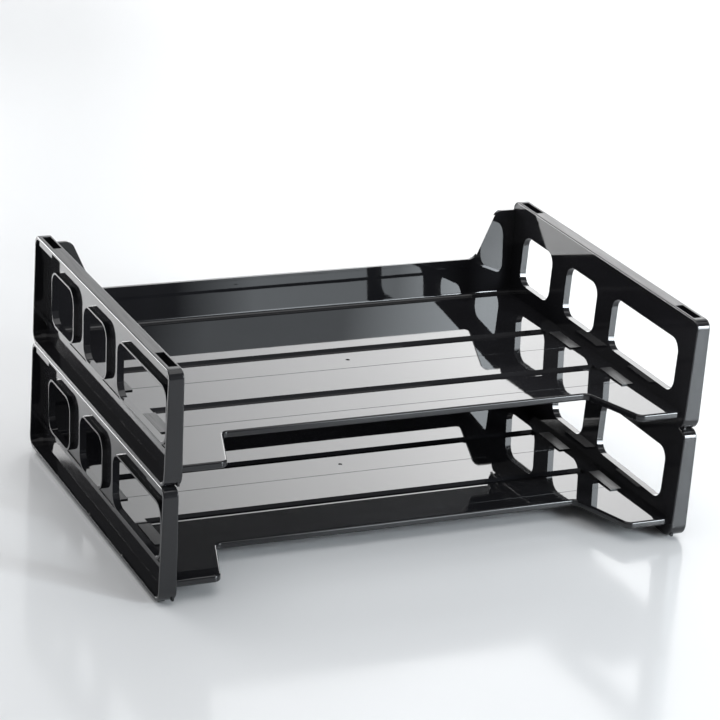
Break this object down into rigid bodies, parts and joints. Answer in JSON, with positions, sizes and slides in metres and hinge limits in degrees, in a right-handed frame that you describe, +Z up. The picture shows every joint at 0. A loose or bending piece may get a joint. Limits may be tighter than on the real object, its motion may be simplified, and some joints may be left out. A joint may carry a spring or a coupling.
{
  "type": "letter tray",
  "caption": "Stacked side-loading letter trays in black plastic: shallow decks with a finger recess, low back walls and windowed side frames that interlock by lugs and slots.",
  "frame": {"origin": "centre of the footprint on the surface that the lower tray's lugs stand on", "axes": "+X to the right across the trays, +Y to the closed back, open front at -Y, +Z up"},
  "size_m": [0.335, 0.235, 0.14],
  "materials": {
    "pan_plastic": "high gloss, polished mould",
    "side_plastic": "gloss, with satin flange edges"
  },
  "bodies": {
    "lower_tray": {"lower_left_side": "side_plastic", "lower_right_side": "side_plastic", "lower_pan": "pan_plastic"},
    "upper_tray": {"upper_left_side": "side_plastic", "upper_right_side": "side_plastic", "upper_pan": "pan_plastic"}
  },
  "joints": [
    {"name": "upper_tray_lift", "type": "slide", "parent": "lower_tray", "child": "upper_tray", "axis": [0, 0, 1], "range_m": [0, 0.12]}
  ]
}
